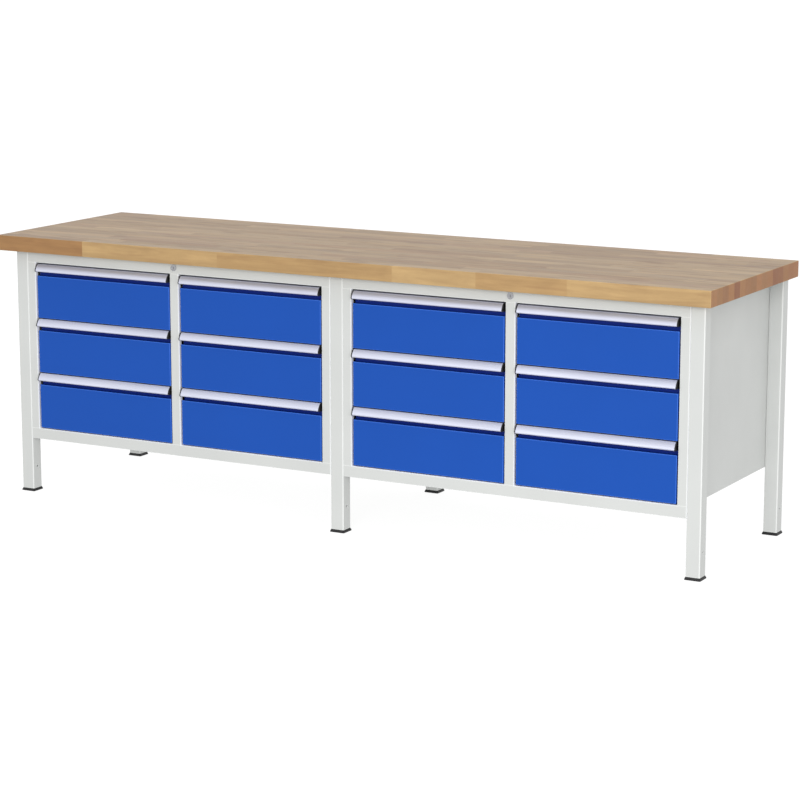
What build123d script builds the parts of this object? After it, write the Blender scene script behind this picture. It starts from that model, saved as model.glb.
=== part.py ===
from build123d import *
import os

# Workshop bench: a beech worktop on three welded leg frames, with two steel cabinets
# hung between them. Each cabinet has two columns of three drawers and one lock.
# Millimetres. +X runs along the bench to the right, -Y is the drawer side, +Z is up.
# The origin is on the floor, at the middle of the bench's length and depth.

# ---------------------------------------------------------------- overall sizes
bench_length = 2500
worktop_depth = 700
bench_height = 860
worktop_thickness = 50
worktop_edge_radius = 2

# ---------------------------------------------------------------- legs and feet
end_overhang = 36          # worktop past the outer face of an end leg
front_overhang = 50        # worktop past the front face of the front legs
frame_depth = 665          # front face of the front legs to back face of the back legs
leg_width = 45
leg_wall = 2
leg_corner_radius = 4
head_bar_thickness = 8
foot_height = 9            # black skirt between the floor and the end of the tube
foot_flare = 3
foot_rim = 3               # upright lower edge of the skirt
foot_plug_height = 25
foot_plug_clearance = 0.3
leg_hole_radius = 3.5
leg_hole_height = 82

# ---------------------------------------------------------------- cabinets
sheet = 1.5
top_rail_height = 39.5
bottom_rail_height = 36
underside_height = 181.5   # floor to the lower edge of the front frame
cabinet_floor_lift = 32    # side walls and floor stop this far above the front frame's edge
side_stile = 30
centre_stile = 32
opening_return = 15        # depth of the folded edge round each opening
edge_return = 30           # depth of the folded upper and lower edges of the front frame
side_return = 12           # depth of its folded sides, along the legs
frame_edge_radius = 2.5    # outside of every fold at the front
back_setback = 8           # cabinet back, in front of the back face of the back legs
top_flange = 20
partition_setback = 60     # leaves room for the lock behind the centre stile

# ---------------------------------------------------------------- drawers
rows = 3
drawer_pitch = 181.2       # the lowest drawer takes what is left of the opening
drawer_travel = 480
front_recess = 3           # drawer face behind the front frame's face
front_side_gap = 5
front_bottom_gap = 3       # to the next grip below, or to the opening's edge
grip_top_gap = 4.5
front_edge_radius = 2.2
fold_depth = 18            # how far the drawer front folds back
ledge_drop = 44            # slot top down to the upper edge of the drawer's face
box_depth = 580
box_lift = 8
box_side_height = 140
box_front_drop = 10        # slot top down to the upper edge of the box's front wall
box_rim = 6                # rolled rim along the top of the box's sides

# ---------------------------------------------------------------- grips
grip_wall = 2
grip_projection = 13.5     # lip in front of the drawer's face
grip_drop = 20.5           # lip below the grip's top
grip_bulge = 1.8           # how far the strip bows out from a straight line
grip_leg_drop = 20
grip_lip = 4
cap_thickness = 3.5
cap_drop = 25              # lower edge of the cap below the grip's top

# ---------------------------------------------------------------- roller slides
side_gap = 14              # drawer box to the edge of the opening
slide_lift = 45            # slot bottom up to the rollers' axis
roller_radius = 10
roller_width = 7
roller_axle_radius = 3
roller_clearance = 0.5
slide_flange = 8           # width of the drawer member's top flange
slide_web_drop = 8         # drawer member's web below the axis
slide_run_clearance = 1.5  # between the flanges of the two members
rail_front_gap = 2         # rail behind the closed drawer's front
roller_inset = 15          # roller axis from the end of its member
rail_rear_gap = 15         # rail past the back of the drawer box
bracket_length = 40
bracket_places = (120, 460)

# ---------------------------------------------------------------- locks
lock_radius = 10.5
lock_bezel = 2
lock_barrel_radius = 9
lock_hole_clearance = 0.2
lock_barrel_length = 24
core_radius = 7
core_clearance = 0.05
core_recess = 0.4
core_tail = 3
cam_length = 24
cam_width = 12
cam_thickness = 3
keyway_width = 1.6
keyway_height = 8
keyway_depth = 6

# ---------------------------------------------------------------- fasteners
screw_radius = 2.5
screw_length = 30
screw_head_radius = 5
screw_head_height = 3
screw_inset = 60           # worktop screws from the ends of the head bar
bolt_radius = 4
bolt_clearance = 0.25
bolt_head_radius = 7.5
bolt_head_height = 5.3
bolt_length = 9
bolt_inset = 110           # bolts from the upper and lower edges of the cabinet's side

# ---------------------------------------------------------------- worked out
frame_height = bench_height - worktop_thickness
total_depth = max(worktop_depth, front_overhang + frame_depth + foot_flare)
top_front = -total_depth / 2
frame_front = top_front + front_overhang
frame_back = frame_front + frame_depth
front_leg_y = frame_front + leg_width / 2
back_leg_y = frame_back - leg_width / 2
end_leg_x = bench_length / 2 - end_overhang - leg_width / 2
leg_xs = (-end_leg_x, 0, end_leg_x)
bay_width = end_leg_x - leg_width
bay_centres = (-end_leg_x / 2, end_leg_x / 2)

opening_width = (bay_width - 2 * side_stile - centre_stile) / 2
opening_bottom = underside_height + bottom_rail_height
opening_top = frame_height - top_rail_height
column_offset = (opening_width + centre_stile) / 2
cabinet_floor = underside_height + cabinet_floor_lift
cabinet_back = frame_back - back_setback

face_y = frame_front + front_recess
fold_y = face_y + fold_depth
box_back = fold_y + box_depth
box_half_width = opening_width / 2 - side_gap
front_half_width = opening_width / 2 - front_side_gap
rail_start = fold_y + rail_front_gap
rail_end = box_back + rail_rear_gap
lock_z = frame_height - top_rail_height / 2


def block(x, y, z):
    """A box given as its (low, high) span along each axis."""
    spans = (x, y, z)
    middle = [(low + high) / 2 for low, high in spans]
    size = [high - low for low, high in spans]
    return Pos(*middle) * Box(*size)


def rod(x, y, z, radius, axis):
    """A cylinder along "x", "y" or "z"; that axis takes a (low, high) span."""
    spans = {"x": x, "y": y, "z": z}
    low, high = spans[axis]
    spans[axis] = (low + high) / 2
    turn = {"x": Rot(0, 90, 0), "y": Rot(90, 0, 0), "z": Rot(0, 0, 0)}[axis]
    return Pos(spans["x"], spans["y"], spans["z"]) * turn * Cylinder(radius, high - low)


def save(name, solids):
    """Write one node; a node of several pieces keeps them as separate solids."""
    shape = solids[0] if len(solids) == 1 else Compound(children=solids)
    export_step(shape, f"parts/{name}.step")


def outward(edge, side, near, far):
    """A span along X between two distances from a drawer box's side towards the cabinet wall."""
    start = edge - side * side_gap
    return tuple(sorted((start + side * near, start + side * far)))


# ---------------------------------------------------------------- worktop and fasteners

def worktop_screw_places():
    """The (x, y) of each screw that holds the worktop to a head bar."""
    ys = (frame_front + leg_width + screw_inset, frame_back - leg_width - screw_inset)
    return [(x, y) for x in leg_xs for y in ys]


def cabinet_bolt_places():
    """The (x, direction, y, z) of each bolt, from a cabinet wall's inner face into a leg."""
    heights = (cabinet_floor + bolt_inset, frame_height - bolt_inset)
    places = []
    for centre in bay_centres:
        for side in (-1, 1):
            x = centre + side * (bay_width / 2 - sheet)
            places += [(x, side, y, z) for y in (front_leg_y, back_leg_y) for z in heights]
    return places


def worktop():
    slab = block((-bench_length / 2, bench_length / 2), (top_front, top_front + worktop_depth),
                 (frame_height, bench_height))
    slab = fillet(slab.edges(), worktop_edge_radius)
    depth = screw_length - head_bar_thickness
    for x, y in worktop_screw_places():
        slab -= rod(x, y, (frame_height - 1, frame_height + depth), screw_radius, "z")
    return slab


def worktop_screw(x, y):
    seat = frame_height - head_bar_thickness
    shank = rod(x, y, (seat, seat + screw_length), screw_radius, "z")
    head = rod(x, y, (seat - screw_head_height, seat), screw_head_radius, "z")
    return shank + head


def cabinet_bolt(x, side, y, z):
    """A hexagon-head bolt with its head inside the cabinet."""
    shank = rod(tuple(sorted((x, x + side * bolt_length))), y, z, bolt_radius, "x")
    hexagon = extrude(RegularPolygon(bolt_head_radius, 6), bolt_head_height)
    return shank + Pos(x, y, z) * Rot(0, -90 * side, 0) * hexagon


def fasteners():
    screws = [worktop_screw(x, y) for x, y in worktop_screw_places()]
    return screws + [cabinet_bolt(*place) for place in cabinet_bolt_places()]


# ---------------------------------------------------------------- legs and feet

def leg_tube(x, y):
    """A square tube with a welded plate closing its top."""
    inner_width = leg_width - 2 * leg_wall
    outline = RectangleRounded(leg_width, leg_width, leg_corner_radius)
    hollow = RectangleRounded(inner_width, inner_width, leg_corner_radius - leg_wall)
    tube = extrude(outline, frame_height - foot_height)
    tube -= extrude(hollow, frame_height - foot_height - head_bar_thickness)
    return Pos(x, y, foot_height) * tube


def leg_frame(x):
    """Front and back leg joined by a flat bar under the worktop, with every hole drilled."""
    bar = block((x - leg_width / 2, x + leg_width / 2), (front_leg_y, back_leg_y),
                (frame_height - head_bar_thickness, frame_height))
    frame = leg_tube(x, front_leg_y) + leg_tube(x, back_leg_y) + bar
    reach = leg_width / 2 + 1
    for y in (front_leg_y, back_leg_y):
        frame -= rod((x - reach, x + reach), y, leg_hole_height, leg_hole_radius, "x")
    for screw_x, y in worktop_screw_places():
        if screw_x == x:
            frame -= rod(x, y, (frame_height - leg_width, frame_height + 1), screw_radius, "z")
    for wall_x, side, y, z in cabinet_bolt_places():
        if abs(wall_x - x) < leg_width:
            through = tuple(sorted((wall_x, wall_x + side * (sheet + leg_width / 2))))
            frame -= rod(through, y, z, bolt_radius + bolt_clearance, "x")
    return frame


def foot_cap(x, y):
    """Flared plastic skirt under the tube, with a plug inside it."""
    wide = leg_width + 2 * foot_flare
    plug_width = leg_width - 2 * leg_wall - 2 * foot_plug_clearance
    rim = extrude(RectangleRounded(wide, wide, leg_corner_radius), foot_rim)
    low = Pos(0, 0, foot_rim) * RectangleRounded(wide, wide, leg_corner_radius)
    high = Pos(0, 0, foot_height) * RectangleRounded(leg_width, leg_width, leg_corner_radius)
    plug = extrude(Rectangle(plug_width, plug_width), foot_height + foot_plug_height)
    plug = chamfer(plug.edges().filter_by(Axis.Z), leg_corner_radius)
    return Pos(x, y, 0) * (rim + loft([low, high]) + plug)


def foot_caps():
    return [foot_cap(x, y) for x in leg_xs for y in (front_leg_y, back_leg_y)]


# ---------------------------------------------------------------- cabinets

def opening(x):
    """The clear opening of one drawer column, as X and Z spans."""
    return (x - opening_width / 2, x + opening_width / 2), (opening_bottom, opening_top)


def widen(span, amount):
    return (span[0] - amount, span[1] + amount)


def front_sheet(centre):
    """The whole folded front, with a return round each opening and a hole for the lock."""
    width = widen((centre, centre), bay_width / 2)
    height = (underside_height, frame_height)
    frame = block(width, (frame_front, frame_front + sheet), height)
    frame += block(width, (frame_front, frame_front + edge_return),
                   (underside_height, underside_height + sheet))
    frame += block(width, (frame_front, frame_front + edge_return),
                   (frame_height - sheet, frame_height))
    frame += block(width, (frame_front, frame_front + side_return), height)
    frame -= block(widen(width, -sheet), (frame_front + sheet, frame_front + side_return),
                   widen(height, -sheet))
    for x in (centre - column_offset, centre + column_offset):
        across, up = opening(x)
        frame += block(widen(across, sheet), (frame_front, frame_front + opening_return),
                       widen(up, sheet))
        frame -= block(across, (frame_front - 1, frame_front + edge_return), up)
    edges = frame.edges().filter_by_position(Axis.Y, frame_front, frame_front)
    frame = fillet(edges, frame_edge_radius)
    hole = lock_barrel_radius + lock_hole_clearance
    return frame - rod(centre, (frame_front - 1, frame_front + edge_return / 2), lock_z, hole, "y")


def front_frame(centre):
    """Two rails and three stiles, butt-welded where the openings' corners are."""
    depth = (frame_front, frame_front + edge_return)
    width = widen((centre, centre), bay_width / 2)
    up = (opening_bottom, opening_top)
    left = centre - column_offset
    right = centre + column_offset
    half = opening_width / 2
    members = [block(width, depth, (opening_top, frame_height)),
               block(width, depth, (underside_height, opening_bottom)),
               block((width[0], left - half), depth, up),
               block((left + half, right - half), depth, up),
               block((right + half, width[1]), depth, up)]
    whole = front_sheet(centre)
    return [(whole & member).solid() for member in members]


def side_wall(centre, side):
    """Outer wall with a flange along its top and the bolt holes."""
    outer = centre + side * bay_width / 2
    inner = outer - side * sheet
    wall = block(sorted((outer, inner)), (frame_front + side_return, cabinet_back),
                 (cabinet_floor, frame_height - sheet))
    flange = block(sorted((outer, outer - side * top_flange)),
                   (frame_front + edge_return, cabinet_back),
                   (frame_height - sheet, frame_height))
    wall += flange
    for wall_x, direction, y, z in cabinet_bolt_places():
        if abs(wall_x - inner) < sheet:
            wall -= rod(widen((inner, inner), 2 * sheet), y, z, bolt_radius + bolt_clearance, "x")
    return wall


def cabinet(centre):
    """Front frame, two side walls, floor, back and partition, spot-welded together."""
    inside = widen((centre, centre), bay_width / 2 - sheet)
    floor = block(inside, (frame_front + sheet, cabinet_back),
                  (cabinet_floor, cabinet_floor + sheet))
    back = block(inside, (cabinet_back - sheet, cabinet_back),
                 (cabinet_floor + sheet, frame_height - sheet))
    partition = block(widen((centre, centre), sheet / 2),
                      (frame_front + partition_setback, cabinet_back - sheet),
                      (cabinet_floor + sheet, frame_height - sheet))
    walls = [side_wall(centre, side) for side in (-1, 1)]
    return [*front_frame(centre), *walls, floor, back, partition]


# ---------------------------------------------------------------- slides

def fixed_rail(edge, side, wall_distance, axis_z):
    """Channel fixed to the cabinet by two brackets, with a roller at its front."""
    web_near = side_gap - sheet
    flange_near = sheet + slide_run_clearance
    low = axis_z - roller_radius - roller_clearance - sheet
    high = axis_z + roller_radius + 2 * roller_clearance + sheet + slide_run_clearance + sheet
    run = (rail_start, rail_end)
    rail = block(outward(edge, side, web_near, side_gap), run, (low, high))
    rail += block(outward(edge, side, flange_near, side_gap), run, (low, low + sheet))
    rail += block(outward(edge, side, flange_near, side_gap), run, (high - sheet, high))
    for place in bracket_places:
        start = frame_front + place
        reach = outward(edge, side, side_gap, side_gap + wall_distance)
        bracket = block(reach, (start, start + bracket_length), (low, high))
        hollow = block(widen(reach, 1), (start + sheet, start + bracket_length - sheet),
                       (low + sheet, high - sheet))
        rail += bracket - hollow
    roller_near = web_near - sheet - roller_width
    y = rail_start + roller_inset
    roller = rod(outward(edge, side, roller_near, roller_near + roller_width), y, axis_z,
                 roller_radius, "x")
    roller += rod(outward(edge, side, roller_near, web_near), y, axis_z, roller_axle_radius, "x")
    return [rail, roller]


def drawer_member(edge, side, axis_z):
    """Angle along the drawer box's side, with a roller at its back."""
    under_flange = axis_z + roller_radius + roller_clearance
    run = (fold_y, box_back)
    member = block(outward(edge, side, 0, sheet), run,
                   (axis_z - slide_web_drop, under_flange + sheet))
    member += block(outward(edge, side, 0, sheet + slide_flange), run,
                    (under_flange, under_flange + sheet))
    roller_near = 2 * sheet
    y = box_back - roller_inset
    roller = rod(outward(edge, side, roller_near, roller_near + roller_width), y, axis_z,
                 roller_radius, "x")
    roller += rod(outward(edge, side, sheet, roller_near), y, axis_z, roller_axle_radius, "x")
    return [member, roller]


def slide_rails():
    """The cabinets' half of every drawer's pair of slides."""
    to_side_wall = side_stile - sheet
    to_partition = centre_stile / 2 - sheet / 2
    solids = []
    for column_x, outer_side in drawer_columns():
        for side in (-1, 1):
            edge = column_x + side * opening_width / 2
            distance = to_side_wall if side == outer_side else to_partition
            for row in range(rows):
                solids += fixed_rail(edge, side, distance, slot(row)[0] + slide_lift)
    return solids


# ---------------------------------------------------------------- drawers

def drawer_columns():
    """Each column's centre, and the side on which its cabinet's outer wall lies."""
    columns = []
    for centre in bay_centres:
        columns += [(centre - column_offset, -1), (centre + column_offset, 1)]
    return columns


def slot(row):
    """Lowest and highest Z free for a row's drawer; rows are counted from the top."""
    high = opening_top - row * drawer_pitch
    low = opening_bottom if row == rows - 1 else high - drawer_pitch - grip_top_gap
    return low, high


def drawer_box(x, low, high):
    """Folded steel tray with its two slide members and their rollers."""
    across = widen((x, x), box_half_width)
    bottom = low + box_lift
    rim = bottom + box_side_height
    run = (fold_y, box_back)
    tray = block(across, run, (bottom, rim))
    tray -= block(widen(across, -sheet), widen(run, -sheet), (bottom + sheet, rim + 1))
    tray += block(across, (fold_y, fold_y + sheet), (bottom, high - box_front_drop))
    for side in (-1, 1):
        wall = x + side * box_half_width
        tray += block(sorted((wall, wall - side * box_rim)), run, (rim - sheet, rim))
    solids = [tray]
    for side in (-1, 1):
        solids += drawer_member(x + side * opening_width / 2, side, low + slide_lift)
    return solids


def drawer_front(x, low, high):
    """Folded face with a ledge at its top, and the strip welded on it that carries the grip."""
    across = widen((x, x), front_half_width)
    bottom = low + front_bottom_gap
    ledge = high - ledge_drop
    face = block(across, (face_y, fold_y), (bottom, ledge))
    face = fillet(face.edges().filter_by_position(Axis.Y, face_y, face_y), front_edge_radius)
    face -= block(widen(across, -sheet), (face_y + sheet, fold_y + 1),
                  (bottom + sheet, ledge - sheet))
    wall = block(across, (fold_y - sheet, fold_y), (ledge, high - grip_top_gap))
    return [face, wall]


def grip_curve(inset):
    """The bowed line of the grip strip, inset from its outer surface, as (-Y, Z) from the face."""
    chord = Vector(grip_projection, -grip_drop)
    normal = Vector(grip_drop, grip_projection).normalized()
    start = Vector(0, 0) - normal * inset
    end = chord - normal * inset
    return ThreePointArc(start, chord / 2 + normal * (grip_bulge - inset), end)


def place_profile(profile, x, top, length):
    """Stand a (-Y, Z) profile at the drawer's face and extrude it along X, centred on x."""
    plane = Plane(origin=(x - length / 2, face_y, top), x_dir=(0, -1, 0), z_dir=(-1, 0, 0))
    return extrude(plane * profile, -length)


def grip_profile():
    """Back leg, top web, bowed strip and lip of the aluminium grip."""
    outer = grip_curve(0)
    inner = grip_curve(grip_wall)
    strip = make_face([outer, inner, Line(outer @ 0, inner @ 0), Line(outer @ 1, inner @ 1)])
    back = -(fold_depth - sheet)
    web = Polyline((back, 0), (0, 0), inner @ 0, (back, -grip_wall), (back, 0))
    leg = Polyline((back, 0), (back + grip_wall, 0), (back + grip_wall, -grip_leg_drop),
                   (back, -grip_leg_drop), (back, 0))
    tip = outer @ 1
    root = inner @ 1
    lip = Polyline(tip, root, (root.X - grip_lip, root.Y), (root.X - grip_lip, root.Y - grip_wall),
                   (tip.X - grip_wall, root.Y - grip_wall), tip)
    return strip + make_face(web) + make_face(leg) + make_face(lip)


def cap_profile():
    """Closed outline of a grip's end."""
    outer = grip_curve(0)
    back = -(fold_depth - sheet)
    tip = outer @ 1
    rest = Polyline(tip, (tip.X - grip_wall, tip.Y - grip_lip), (0, -cap_drop), (back, -cap_drop),
                    (back, 0), (0, 0))
    return make_face([outer, rest])


def drawer_grip(x, high):
    length = 2 * (front_half_width - cap_thickness)
    return place_profile(grip_profile(), x, high - grip_top_gap, length)


def grip_caps(x, high):
    offset = front_half_width - cap_thickness / 2
    top = high - grip_top_gap
    return [place_profile(cap_profile(), x + side * offset, top, cap_thickness) for side in (-1, 1)]


# ---------------------------------------------------------------- locks

def lock_housing(x):
    """Bezel on the front frame and the barrel behind it."""
    barrel = rod(x, (frame_front - lock_bezel, frame_front + lock_barrel_length), lock_z,
                 lock_barrel_radius, "y")
    bezel = rod(x, (frame_front - lock_bezel, frame_front), lock_z, lock_radius, "y")
    bore = rod(x, (frame_front - lock_bezel - 1, frame_front + lock_barrel_length + 1), lock_z,
               core_radius + core_clearance, "y")
    return barrel + bezel - bore


def lock_core(x):
    """Turning core with its keyway, and the cam on its tail."""
    face = frame_front - lock_bezel + core_recess
    tail = frame_front + lock_barrel_length + core_tail
    core = rod(x, (face, tail), lock_z, core_radius, "y")
    core += block((x - cam_width / 2, x + cam_width / 2), (tail, tail + cam_thickness),
                  (lock_z - cam_length, lock_z + cam_width / 2))
    keyway = block((x - keyway_width / 2, x + keyway_width / 2), (face - 1, face + keyway_depth),
                   (lock_z - keyway_height / 2, lock_z + keyway_height / 2))
    return core - keyway


# ---------------------------------------------------------------- whole bench

def build():
    os.makedirs("parts", exist_ok=True)
    save("worktop", [worktop()])
    for name, x in zip(("left", "middle", "right"), leg_xs):
        save(f"{name}_leg_frame", [leg_frame(x)])
    save("foot_caps", foot_caps())
    for name, centre in zip(("left", "right"), bay_centres):
        save(f"{name}_cabinet", cabinet(centre))
        save(f"{name}_lock_core", [lock_core(centre)])
    save("lock_housings", [lock_housing(centre) for centre in bay_centres])
    save("slide_rails", slide_rails())
    save("fasteners", fasteners())
    for column, (x, _) in zip("abcd", drawer_columns()):
        for row in range(rows):
            low, high = slot(row)
            name = f"drawer_{column}{row + 1}"
            save(f"{name}_box", drawer_box(x, low, high))
            save(f"{name}_front", drawer_front(x, low, high))
            save(f"{name}_grip", [drawer_grip(x, high)])
            save(f"{name}_caps", grip_caps(x, high))


build()
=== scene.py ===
import math

import bpy
from mathutils import Euler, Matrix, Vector


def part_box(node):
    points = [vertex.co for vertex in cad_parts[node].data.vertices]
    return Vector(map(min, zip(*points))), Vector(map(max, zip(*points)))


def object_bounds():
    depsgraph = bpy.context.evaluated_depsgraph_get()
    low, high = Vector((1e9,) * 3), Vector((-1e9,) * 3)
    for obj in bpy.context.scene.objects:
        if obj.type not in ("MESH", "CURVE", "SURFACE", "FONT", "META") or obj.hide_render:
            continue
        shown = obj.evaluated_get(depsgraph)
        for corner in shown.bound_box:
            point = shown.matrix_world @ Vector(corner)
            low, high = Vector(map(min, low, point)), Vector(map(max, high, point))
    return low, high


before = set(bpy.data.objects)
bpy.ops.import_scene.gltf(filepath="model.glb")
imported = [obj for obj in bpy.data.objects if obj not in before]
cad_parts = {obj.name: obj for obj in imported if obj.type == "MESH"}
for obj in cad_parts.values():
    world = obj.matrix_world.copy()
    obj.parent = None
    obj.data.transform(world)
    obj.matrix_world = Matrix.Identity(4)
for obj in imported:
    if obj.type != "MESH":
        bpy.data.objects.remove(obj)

cad_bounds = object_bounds()

# ---------------------------------------------------------------- places, from the frame
WORKTOP_LOW, WORKTOP_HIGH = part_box("worktop")
BENCH_LOW, BENCH_HIGH = (Vector(corner) for corner in cad_bounds)
BENCH_MIDDLE = (BENCH_LOW + BENCH_HIGH) / 2

# ---------------------------------------------------------------- colours, as screen values
BEECH_GOLD = (176, 145, 94)
BEECH_PALE = (192, 166, 116)
BEECH_RED = (150, 98, 56)
BEECH_END = (142, 88, 54)
BEECH_END_GOLD = (152, 108, 66)
BEECH_SHEEN_AND_TONE = (160, 135, 112)
BEECH_DASH = (112, 78, 54)
COAT_GREY = (201, 203, 201)
# painted highlight along the grey coat's edges
COAT_GREY_EDGE_HIGHLIGHT = (226, 228, 226)
COAT_GREY_FOLD_HIGHLIGHT = (246, 247, 252)   # painted highlight on the lit returns of the folds round the drawers
COAT_BLUE = (19, 76, 168)
# painted highlight along the blue fronts' edges
COAT_BLUE_EDGE_HIGHLIGHT = (66, 116, 218)
COAT_BLUE_RECESS_SHADE = (0, 34, 122)      # painted shade in the recess behind the grips, where their shadow falls
BOX_GREY = (198, 200, 199)
# painted highlight along the drawer boxes' edges
BOX_GREY_EDGE_HIGHLIGHT = (216, 218, 217)
GRIP_METAL = (226, 229, 247)
CAP_BLACK = (13, 13, 15)
ZINC = (176, 180, 186)
NICKEL = (184, 184, 187)
FLOOR_WHITE = (128, 128, 128)

# ---------------------------------------------------------------- wood
STAVE_COUNT = 16            # staves across the worktop's depth
STAVE_LENGTH = 0.46
SHORTEST_STAVE = STAVE_LENGTH * 0.75
LONGEST_STAVE = STAVE_LENGTH * 1.3
GLUE_LINE = 0.0006
WOOD_EDGE = 0.003           # how wide the worktop's paler edges are
# the front row of staves: where each starts along X, how pale it is and how red, 0 to 1
FRONT_STAVES = ((-9.0, 0.15, 0.80), (-0.913, 0.75, 0.20), (-0.400, 0.55, 0.35),
                (0.223, 0.90, 0.10), (0.505, 0.60, 0.55), (0.802, 0.80, 0.20))
# how fine each layer of the grain is along X, Y and Z, in waves per metre
FIGURE = (2.4, 34.0, 34.0)
DASHES = (6.5, 55.0, 55.0)
BLOTCHES = (14.0, 34.0, 34.0)
FIBRES = (18.0, 900.0, 900.0)
FLECKS = (190.0, 1500.0, 1500.0)
RINGS = (1.0, 130.0, 9.0)
# how far the grain moves along X, Y and Z for the next row, the next stave and a paler stave
GRAIN_SHIFT = (3.7, 5.3, 11.0)
RING_SHIFT = (0.0, 0.31, 0.17)
# how much of another colour is mixed in, 0 to 1
RED_STAVES = 0.6
TOP_SHEEN_AND_TONE = 0.66             # partly painted sheen, partly the sanded and oiled top's own tone: the top is greyer than the sides
DASHES_SIDE = 0.14
DASHES_TOP = 0.6
FLECKS_RED = 0.22
GLUE_DARK = 0.35
EDGE_PALE = 0.15

# ---------------------------------------------------------------- paint
EDGE_HIGHLIGHT_WIDTH = 0.0028         # how wide the painted highlights along the edges are
RECESS_SHADE_START = 0.005          # behind a drawer's face, where the painted shade of the recess begins
RECESS_SHADE_END = 0.011            # and where it is darkest
FOLD_HIGHLIGHT_DEPTH = 0.012          # how deep behind the front the painted highlight on the cabinets' folds reaches
# how fine each layer of the coat is, in waves per metre
COAT_DRIFT = 2.6
COAT_DUST = 2400.0
COAT_PEEL = 620.0
COAT_WAVES = 34.0
COAT_SHEEN = 9.0

# ---------------------------------------------------------------- metal and plastic
# how fine each pattern is, in waves per metre, along X, Y and Z where there are three
GRIP_LINES = (6.0, 1400.0, 1400.0)
NICKEL_LINES = (900.0, 900.0, 900.0)
ZINC_CRYSTALS = (160.0, 90.0, 160.0)
PLASTIC_GRAIN = 1500.0
PLASTIC_SCUFFS = 60.0
GRIP_ROUGHNESS = (0.36, 0.48)
NICKEL_ROUGHNESS = (0.18, 0.3)
UPPER_SHADE_START = 0.3            # upward part of a face's normal where the grips' painted shade begins
UPPER_SHADE_END = 0.77             # and where it is darkest
GRIP_UPPER_SHADE = 0.7      # painted shade: brightness of the grips where they look up
SCUFF_LIFT = 0.02           # how much lighter scuffed plastic is, as linear colour

# ---------------------------------------------------------------- edges
# where an edge begins to show and where it shows fully: as the cosine between the rounded and the
# real normal on sharp edges, and as the largest part of the normal along an axis on rounded ones
SHARP_EDGE = (0.995, 0.9)
ROUND_EDGE = (0.99, 0.88)

# ---------------------------------------------------------------- light
SKY_TOP = 1.0
SKY_HORIZON = 0.86
SKY_BOTTOM = 0.68
BACKGROUND = 1.0
# softboxes: azimuth from straight in front towards the bench's right end, elevation, distance,
# width and height, power
KEY_LIGHT = (18, 14, 8.0, (3.0, 2.0), 235)
SIDE_LIGHT = (54, 14, 8.0, (3.0, 2.0), 108)
FLOOR_SIZE = 200
FLOOR_GLOW = 0.86

# ---------------------------------------------------------------- the photograph's viewpoint
EYE = (3.964, -7.079, 1.962)
EYE_AZIMUTH = 28.92         # degrees, to the right of the bench
EYE_DIP = 11.12             # degrees below level
LENS = 116.55               # mm
SENSOR = 36                 # mm


def linear(colour):
    """Screen colour to the linear colour that a shader takes."""
    parts = [c / 255 for c in colour]
    parts = [c / 12.92 if c <= 0.04045 else ((c + 0.055) / 1.055) ** 2.4 for c in parts]
    return (*parts, 1.0)


# ---------------------------------------------------------------- shader helpers

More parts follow.
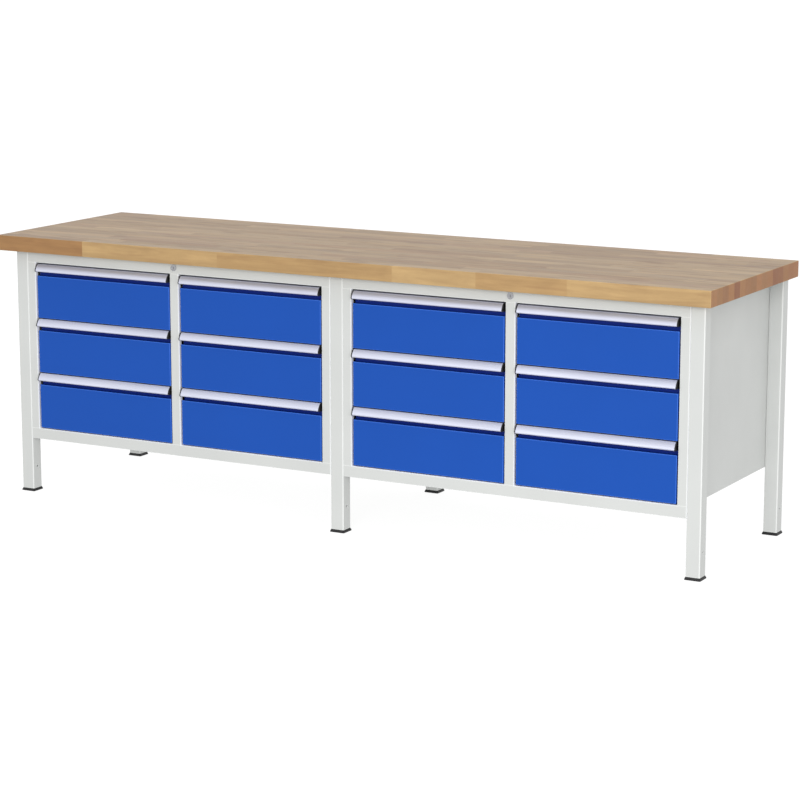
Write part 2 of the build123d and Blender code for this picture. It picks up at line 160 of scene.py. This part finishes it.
class Shader:
    """A material's node tree, with short calls for the nodes that the materials share."""

    def __init__(self, name):
        self.material = bpy.data.materials.new(name)
        self.material.use_nodes = True
        self.tree = self.material.node_tree
        self.surface = self.tree.nodes["Principled BSDF"]
        coordinates = self.node("ShaderNodeTexCoord").outputs
        self.place = coordinates["Object"]
        self.slant = coordinates["Normal"]

    def node(self, kind, **settings):
        made = self.tree.nodes.new(kind)
        for name, value in settings.items():
            setattr(made, name, value)
        return made

    def join(self, source, socket):
        """Feed a socket from another socket, or set it to a plain value."""
        if isinstance(source, bpy.types.NodeSocket):
            self.tree.links.new(source, socket)
        else:
            socket.default_value = source

    def math(self, operation, *values):
        made = self.node("ShaderNodeMath", operation=operation)
        for value, socket in zip(values, made.inputs):
            self.join(value, socket)
        return made.outputs[0]

    def vector(self, operation, *values):
        made = self.node("ShaderNodeVectorMath", operation=operation)
        for value, socket in zip(values, made.inputs):
            self.join(value, socket)
        return made.outputs[0]

    def scaled(self, source, scale):
        return self.vector("MULTIPLY", source, scale)

    def split(self, source):
        made = self.node("ShaderNodeSeparateXYZ")
        self.join(source, made.inputs[0])
        return made.outputs

    def combine(self, x, y, z):
        made = self.node("ShaderNodeCombineXYZ")
        for value, socket in zip((x, y, z), made.inputs):
            self.join(value, socket)
        return made.outputs[0]

    def noise(self, place, scale, detail=3.0, roughness=0.55, distortion=0.0):
        made = self.node("ShaderNodeTexNoise")
        self.join(place, made.inputs["Vector"])
        for name, value in (("Scale", scale), ("Detail", detail), ("Roughness", roughness),
                            ("Distortion", distortion)):
            self.join(value, made.inputs[name])
        return made.outputs["Fac"]

    def random(self, place):
        """An even random number for each whole-number place."""
        made = self.node("ShaderNodeTexWhiteNoise", noise_dimensions="3D")
        self.join(place, made.inputs["Vector"])
        return made.outputs["Value"]

    def spread(self, value, low, high, new_low=0.0, new_high=1.0):
        made = self.node("ShaderNodeMapRange")
        for source, socket in zip((value, low, high, new_low, new_high), made.inputs):
            self.join(source, socket)
        return made.outputs[0]

    def mix(self, factor, first, second, blend="MIX"):
        made = self.node("ShaderNodeMix", data_type="RGBA", blend_type=blend)
        sockets = [s for s in made.inputs if s.type == "RGBA"]
        self.join(factor, made.inputs[0])
        self.join(first, sockets[0])
        self.join(second, sockets[1])
        return [s for s in made.outputs if s.type == "RGBA"][0]

    def steps(self, place, values):
        """A value that changes along place: values are pairs of a start and the value from it."""
        total = values[0][1]
        for (_, before), (start, value) in zip(values, values[1:]):
            passed = self.math("GREATER_THAN", place, start)
            total = self.math("ADD", total, self.math("MULTIPLY", passed, value - before))
        return total

    def shaded(self, colour, shade):
        """A colour made lighter or darker by a factor."""
        return self.mix(1.0, colour, self.combine(shade, shade, shade), "MULTIPLY")

    def choose(self, factor, first, second):
        """First where the factor is 0, second where it is 1."""
        return self.spread(factor, 0.0, 1.0, first, second)

    def bump(self, height, strength, distance, below=None):
        made = self.node("ShaderNodeBump")
        made.inputs["Strength"].default_value = strength
        made.inputs["Distance"].default_value = distance
        self.join(height, made.inputs["Height"])
        if below is not None:
            self.join(below, made.inputs["Normal"])
        return made.outputs[0]

    def edges(self, radius):
        """1 along edges and 0 on flat faces that lie square to the axes.

        A sharp edge shows where a rounded normal leaves the real one, a rounded edge by its own
        slanting normal.
        """
        rounded = self.node("ShaderNodeBevel", samples=4)
        rounded.inputs["Radius"].default_value = radius
        flat = self.node("ShaderNodeNewGeometry").outputs["Normal"]
        same = self.node("ShaderNodeVectorMath", operation="DOT_PRODUCT")
        self.join(rounded.outputs[0], same.inputs[0])
        self.join(flat, same.inputs[1])
        sharp = self.spread(same.outputs["Value"], *SHARP_EDGE)
        x, y, z = self.split(self.vector("ABSOLUTE", self.slant))
        square = self.math("MAXIMUM", self.math("MAXIMUM", x, y), z)
        return self.math("MAXIMUM", sharp, self.spread(square, *ROUND_EDGE))

    def finish(self, **sockets):
        names = {"color": "Base Color", "roughness": "Roughness", "metallic": "Metallic",
                 "normal": "Normal", "anisotropic": "Anisotropic",
                 "specular": "Specular IOR Level"}
        for name, value in sockets.items():
            self.join(value, self.surface.inputs[names[name]])
        return self.material


# ---------------------------------------------------------------- materials

def lay_staves(s):
    """The staves' layout: each one's tone, warmth and grain offset, and the glue lines round it."""
    x, y, _ = s.split(s.place)
    stave_width = (WORKTOP_HIGH.y - WORKTOP_LOW.y) / STAVE_COUNT
    across = s.math("DIVIDE", s.math("SUBTRACT", y, WORKTOP_LOW.y + 1e-4), stave_width)
    row = s.math("MAXIMUM", s.math("FLOOR", across), 0.0)
    front_row = s.math("LESS_THAN", row, 0.5)
    row_shift = s.random(s.combine(row, 7.0, 3.0))
    row_length = s.spread(s.random(s.combine(row, 2.0, 9.0)), 0.0, 1.0,
                          SHORTEST_STAVE, LONGEST_STAVE)
    along = s.math("ADD", s.math("DIVIDE", x, row_length), s.math("MULTIPLY", row_shift, 5.0))

    numbers = [(start, number) for number, (start, _, _) in enumerate(FRONT_STAVES)]
    piece = s.choose(front_row, s.math("FLOOR", along), s.steps(x, numbers))
    tone = s.choose(front_row, s.random(s.combine(row, piece, 1.0)),
                    s.steps(x, [(start, pale) for start, pale, _ in FRONT_STAVES]))
    warmth = s.choose(front_row, s.random(s.combine(row, piece, 4.0)),
                      s.steps(x, [(start, red) for start, _, red in FRONT_STAVES]))
    offset = s.scaled(s.combine(row, piece, tone), GRAIN_SHIFT)

    front_gap = abs(FRONT_STAVES[0][0])
    for start, _, _ in FRONT_STAVES[1:]:
        front_gap = s.math("MINIMUM", front_gap, s.math("ABSOLUTE", s.math("SUBTRACT", x, start)))
    other_gap = s.math("MULTIPLY", s.math("PINGPONG", along, 0.5), STAVE_LENGTH)
    end_gap = s.choose(front_row, other_gap, front_gap)
    end_line = s.spread(end_gap, 0.0, GLUE_LINE, 1.0, 0.0)
    side_line = s.spread(s.math("PINGPONG", across, 0.5), 0.0, GLUE_LINE / stave_width, 1.0, 0.0)
    return tone, warmth, offset, side_line, end_line


def long_grain(s, tone, warmth, offset, top):
    """Wood along the grain: its colour, and the figure and fibres that also shape the surface."""
    own = s.vector("ADD", s.place, offset)
    figure = s.noise(s.scaled(own, FIGURE), 1.0, 4.0, 0.6, 1.2)
    dash = s.spread(s.noise(s.scaled(own, DASHES), 1.0, 2.0, 0.5), 0.55, 0.66)
    blotch = s.spread(s.noise(s.scaled(own, BLOTCHES), 1.0, 2.0, 0.5, 0.6), 0.35, 0.65, 0.95, 1.04)
    fibre = s.noise(s.scaled(own, FIBRES), 1.0, 2.0)
    fleck = s.spread(s.noise(s.scaled(own, FLECKS), 1.0, 1.0), 0.64, 0.72)

    base = s.mix(s.spread(tone, 0.1, 0.95), linear(BEECH_GOLD), linear(BEECH_PALE))
    red = s.math("MULTIPLY", s.spread(warmth, 0.5, 1.0), RED_STAVES)
    base = s.mix(red, base, linear(BEECH_RED))
    # the top greyed: partly painted sheen, partly the top's own tone
    base = s.mix(top, base, linear(BEECH_SHEEN_AND_TONE))

    stave_shade = s.spread(tone, 0.0, 1.0, 0.86, 1.08)
    streak = s.math("MULTIPLY", s.spread(figure, 0.32, 0.68, 0.80, 1.08), blotch)
    base = s.shaded(base, s.math("MULTIPLY", stave_shade, streak))
    dash = s.math("MULTIPLY", dash, s.choose(top, DASHES_SIDE, DASHES_TOP))
    base = s.mix(dash, base, linear(BEECH_DASH))
    base = s.mix(s.math("MULTIPLY", fleck, FLECKS_RED), base, linear(BEECH_RED))
    return base, figure, fibre


def end_grain(s, tone, warmth, offset):
    """The staves' ends: darker and redder, with the rings of each stave."""
    ring_place = s.vector("ADD", s.scaled(s.place, (0.0, 1.0, 1.0)), s.scaled(offset, RING_SHIFT))
    rings = s.noise(s.scaled(ring_place, RINGS), 1.0, 3.0, 0.6, 0.8)
    shade = s.math("ADD", s.math("MULTIPLY", tone, 0.6), s.math("MULTIPLY", rings, 0.5))
    colour = s.mix(s.spread(warmth, 0.1, 0.9), linear(BEECH_END_GOLD), linear(BEECH_END))
    return s.shaded(colour, s.spread(shade, 0.15, 0.85, 0.82, 1.14))


def beech():
    """Oiled beech staves glued side by side, with figure, flecks, glue lines and end grain."""
    s = Shader("beech")
    tone, warmth, offset, side_line, end_line = lay_staves(s)
    facing = s.split(s.slant)
    top = s.spread(facing[2], 0.5, 0.95, 0.0, TOP_SHEEN_AND_TONE)
    is_end = s.spread(s.math("ABSOLUTE", facing[0]), 0.6, 0.95)

    base, figure, fibre = long_grain(s, tone, warmth, offset, top)
    base = s.mix(is_end, base, end_grain(s, tone, warmth, offset))
    end_line = s.math("MULTIPLY", end_line, s.math("SUBTRACT", 1.0, is_end))
    line = s.math("MAXIMUM", side_line, end_line)
    base = s.mix(s.math("MULTIPLY", line, GLUE_DARK), base, linear(BEECH_END))
    base = s.mix(s.math("MULTIPLY", s.edges(WOOD_EDGE), EDGE_PALE), base, linear(BEECH_PALE))

    rough = s.spread(s.math("ADD", figure, s.math("MULTIPLY", fibre, 0.4)), 0.4, 1.0, 0.36, 0.52)
    normal = s.bump(s.math("SUBTRACT", s.math("MULTIPLY", fibre, 0.6), line), 0.25, 0.0004)
    return s.finish(color=base, roughness=rough, normal=normal, specular=0.4)


def powder_coat(name, colour, edge_highlight_colour, dark=0.93, rough=0.42, specular=0.4,
                recess_shade=None, fold_highlight=None):
    """Baked powder: an even colour, a fine orange peel, a little dust, and painted highlights along
    the edges.

    dark is the shade of the darkest patches, and rough the average roughness. recess_shade is a
    colour of painted shade and the Y range over which the coat darkens to it, in the recess behind
    the grips. fold_highlight is a colour of painted highlight and the Y range where faces that lie
    across the front, the lit returns, have it.
    """
    s = Shader(name)
    # painted highlight along the edges, where light catches them
    base = s.mix(s.edges(EDGE_HIGHLIGHT_WIDTH), linear(colour), linear(edge_highlight_colour))
    # painted shade: darker deeper behind the face, in the recess under the grips
    if recess_shade:
        recess_shade_colour, start, end = recess_shade
        base = s.mix(s.spread(s.split(s.place)[1], start, end), base, linear(recess_shade_colour))
    # painted highlight on the folds' returns, the faces that lie across the front
    if fold_highlight:
        fold_highlight_colour, start, end = fold_highlight
        depth = s.split(s.place)[1]
        inside = s.math("MULTIPLY", s.math("GREATER_THAN", depth, start),
                        s.math("LESS_THAN", depth, end))
        across = s.spread(s.math("ABSOLUTE", s.split(s.slant)[1]), 0.75, 0.4)
        base = s.mix(s.math("MULTIPLY", inside, across), base, linear(fold_highlight_colour))
    base = s.shaded(base, s.spread(s.noise(s.place, COAT_DRIFT, 3.0), 0.3, 0.7, dark, 1.0))
    base = s.shaded(base, s.spread(s.noise(s.place, COAT_DUST, 1.0), 0.3, 0.7, 0.965, 1.0))
    peel = s.noise(s.place, COAT_PEEL, 2.0, 0.4)
    waves = s.noise(s.place, COAT_WAVES, 2.0, 0.4)
    sheen = s.spread(s.noise(s.place, COAT_SHEEN, 4.0), 0.3, 0.7, rough - 0.06, rough + 0.07)
    normal = s.bump(peel, 0.10, 0.0003, s.bump(waves, 0.06, 0.0008))
    return s.finish(color=base, roughness=sheen, normal=normal, specular=specular)


def brushed(name, colour, fineness, roughness, aniso, metallic=1.0, upper_shade=1.0):
    """Metal with fine lines; fineness is in waves per metre along X, Y and Z, roughness a range.

    upper_shade is a painted shade: the brightness of faces that look up, as a part of that of
    upright faces.
    """
    s = Shader(name)
    lines = s.noise(s.scaled(s.place, fineness), 1.0, 3.0, 0.6)
    broad = s.noise(s.place, 5.0, 2.0)
    shade = s.spread(s.math("ADD", lines, s.math("MULTIPLY", broad, 0.5)), 0.45, 1.05, 0.86, 1.03)
    base = s.shaded(linear(colour), shade)
    up = s.split(s.slant)[2]
    # painted shade: faces that look up are darker
    base = s.shaded(base, s.spread(up, UPPER_SHADE_START, UPPER_SHADE_END, 1.0, upper_shade))
    rough = s.spread(lines, 0.3, 0.7, *roughness)
    normal = s.bump(lines, 0.08, 0.0002)
    return s.finish(color=base, roughness=rough, metallic=metallic, normal=normal,
                    anisotropic=aniso)


def zinc():
    """Bright zinc plating with faint crystal patches."""
    s = Shader("zinc")
    cells = s.node("ShaderNodeTexVoronoi", feature="F1")
    s.join(s.scaled(s.place, ZINC_CRYSTALS), cells.inputs["Vector"])
    patch = s.spread(cells.outputs["Color"], 0.0, 1.0, 0.82, 1.05)
    drift = s.spread(s.noise(s.place, 14.0, 3.0), 0.3, 0.7, 0.9, 1.05)
    base = s.shaded(linear(ZINC), s.math("MULTIPLY", patch, drift))
    rough = s.spread(s.noise(s.place, 70.0, 3.0), 0.3, 0.7, 0.3, 0.46)
    normal = s.bump(s.noise(s.place, 500.0, 2.0), 0.08, 0.0002)
    return s.finish(color=base, roughness=rough, metallic=1.0, normal=normal)


def moulded(name, colour):
    """Matt moulded plastic with a fine spark-eroded texture."""
    s = Shader(name)
    grain = s.noise(s.place, PLASTIC_GRAIN, 2.0, 0.5)
    scuff = s.spread(s.noise(s.place, PLASTIC_SCUFFS, 4.0, 0.7), 0.55, 0.75)
    red, green, blue, alpha = linear(colour)
    scuffed = (red + SCUFF_LIFT, green + SCUFF_LIFT, blue + SCUFF_LIFT, alpha)
    base = s.mix(s.math("MULTIPLY", scuff, 0.5), linear(colour), scuffed)
    rough = s.spread(scuff, 0.0, 1.0, 0.46, 0.62)
    normal = s.bump(grain, 0.22, 0.0003)
    return s.finish(color=base, roughness=rough, normal=normal)


def give(nodes, material):
    """Make one material the only one on some CAD nodes."""
    for name in nodes:
        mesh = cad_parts[name].data
        mesh.materials.clear()
        mesh.materials.append(material)


def dress_bench():
    """Materials of the worktop, the leg frames and the cabinets with their slides and screws."""
    give(["worktop"], beech())
    legs = [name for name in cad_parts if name.endswith("leg_frame")]
    give(legs, powder_coat("grey_powder_coat", COAT_GREY, COAT_GREY_EDGE_HIGHLIGHT))
    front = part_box("left_cabinet")[0].y
    # painted highlight on the cabinets' lit returns round the drawers
    fold_highlight = (COAT_GREY_FOLD_HIGHLIGHT, front, front + FOLD_HIGHLIGHT_DEPTH)
    give(["left_cabinet", "right_cabinet"],
         powder_coat("cabinet_powder_coat", COAT_GREY, COAT_GREY_EDGE_HIGHLIGHT, fold_highlight=fold_highlight))
    give(["slide_rails", "fasteners"], zinc())
    give(["lock_housings", "left_lock_core", "right_lock_core"],
         brushed("satin_nickel", NICKEL, NICKEL_LINES, NICKEL_ROUGHNESS, aniso=0.0))


def dress_drawers():
    """Materials of the drawers, and of the foot caps, whose plastic is that of the grips' caps."""
    pieces = [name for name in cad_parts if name.startswith("drawer_")]
    drawers = sorted({name.rsplit("_", 1)[0] for name in pieces})
    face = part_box(f"{drawers[0]}_front")[0].y
    # painted shade in the recess behind the grips
    recess_shade = (COAT_BLUE_RECESS_SHADE, face + RECESS_SHADE_START, face + RECESS_SHADE_END)
    give([f"{name}_front" for name in drawers],
         powder_coat("blue_powder_coat", COAT_BLUE, COAT_BLUE_EDGE_HIGHLIGHT,
                     dark=0.95, rough=0.45, specular=0.18, recess_shade=recess_shade))
    give([f"{name}_box" for name in drawers],
         powder_coat("box_powder_coat", BOX_GREY, BOX_GREY_EDGE_HIGHLIGHT))
    give([f"{name}_grip" for name in drawers],
         brushed("satin_aluminium", GRIP_METAL, GRIP_LINES, GRIP_ROUGHNESS, aniso=0.3,
                 metallic=0.6, upper_shade=GRIP_UPPER_SHADE))
    give([f"{name}_caps" for name in drawers] + ["foot_caps"], moulded("black_plastic", CAP_BLACK))


# ---------------------------------------------------------------- studio

def floor():
    """Pale floor that shows a faint shadow but throws no light up at the bench."""
    bpy.ops.mesh.primitive_plane_add(size=FLOOR_SIZE)
    plane = bpy.context.object
    plane.name = "studio_floor"
    plane.location.z = BENCH_LOW.z
    plane.visible_diffuse = False
    plane.visible_glossy = False
    s = Shader("studio_floor")
    base = s.shaded(linear(FLOOR_WHITE), s.spread(s.noise(s.place, 0.6, 2.0), 0.3, 0.7, 0.985, 1.0))
    s.surface.inputs["Emission Color"].default_value = (1, 1, 1, 1)
    s.surface.inputs["Emission Strength"].default_value = FLOOR_GLOW
    plane.data.materials.append(s.finish(color=base, roughness=0.9, specular=0.1))


def sky():
    """White all round where it is looked at; as light it is strongest from above."""
    world = bpy.data.worlds.new("studio")
    world.use_nodes = True
    tree = world.node_tree
    height = tree.nodes.new("ShaderNodeSeparateXYZ")
    tree.links.new(tree.nodes.new("ShaderNodeTexCoord").outputs["Generated"], height.inputs[0])
    ramp = tree.nodes.new("ShaderNodeValToRGB")
    stops = ramp.color_ramp.elements
    stops.new(0.5)
    for stop, value in zip(stops, (SKY_BOTTOM, SKY_HORIZON, SKY_TOP)):
        stop.color = (value, value, value, 1)
    level = tree.nodes.new("ShaderNodeMapRange")
    level.inputs["From Min"].default_value = -1
    tree.links.new(height.outputs["Z"], level.inputs["Value"])
    tree.links.new(level.outputs[0], ramp.inputs[0])
    seen = tree.nodes.new("ShaderNodeMix")
    tree.links.new(tree.nodes.new("ShaderNodeLightPath").outputs["Is Camera Ray"], seen.inputs[0])
    tree.links.new(ramp.outputs[0], seen.inputs[2])
    seen.inputs[3].default_value = BACKGROUND
    tree.links.new(seen.outputs[0], tree.nodes["Background"].inputs["Strength"])
    tree.nodes["Background"].inputs["Color"].default_value = (1, 1, 1, 1)
    bpy.context.scene.world = world


def softbox(name, azimuth, elevation, distance, size, power):
    """Area light that looks at the bench's middle from an azimuth and an elevation in degrees."""
    turn, rise = math.radians(azimuth), math.radians(elevation)
    level = Vector((math.sin(turn), -math.cos(turn), 0))
    towards = level * math.cos(rise) + Vector((0, 0, math.sin(rise)))
    light = bpy.data.lights.new(name, "AREA")
    light.shape = "RECTANGLE"
    light.size, light.size_y = size
    light.energy = power
    lamp = bpy.data.objects.new(name, light)
    bpy.context.scene.collection.objects.link(lamp)
    lamp.location = BENCH_MIDDLE + towards * distance
    lamp.rotation_euler = (-towards).to_track_quat("-Z", "Y").to_euler()
    lamp.visible_camera = False


def studio():
    """Sky and softboxes, with colours shown as they are."""
    sky()
    softbox("key", *KEY_LIGHT)
    softbox("side", *SIDE_LIGHT)
    view = bpy.context.scene.view_settings
    view.view_transform = "Standard"
    view.look = "None"


def camera():
    """The photograph's viewpoint: to the right of the bench, a little above it."""
    lens = bpy.data.cameras.new("camera")
    lens.sensor_width = SENSOR
    lens.lens = LENS
    eye = bpy.data.objects.new("camera", lens)
    bpy.context.scene.collection.objects.link(eye)
    eye.location = EYE
    eye.rotation_euler = Euler((math.radians(90 - EYE_DIP), 0, math.radians(EYE_AZIMUTH)))
    bpy.context.scene.camera = eye


dress_bench()
dress_drawers()
floor()
studio()
camera()
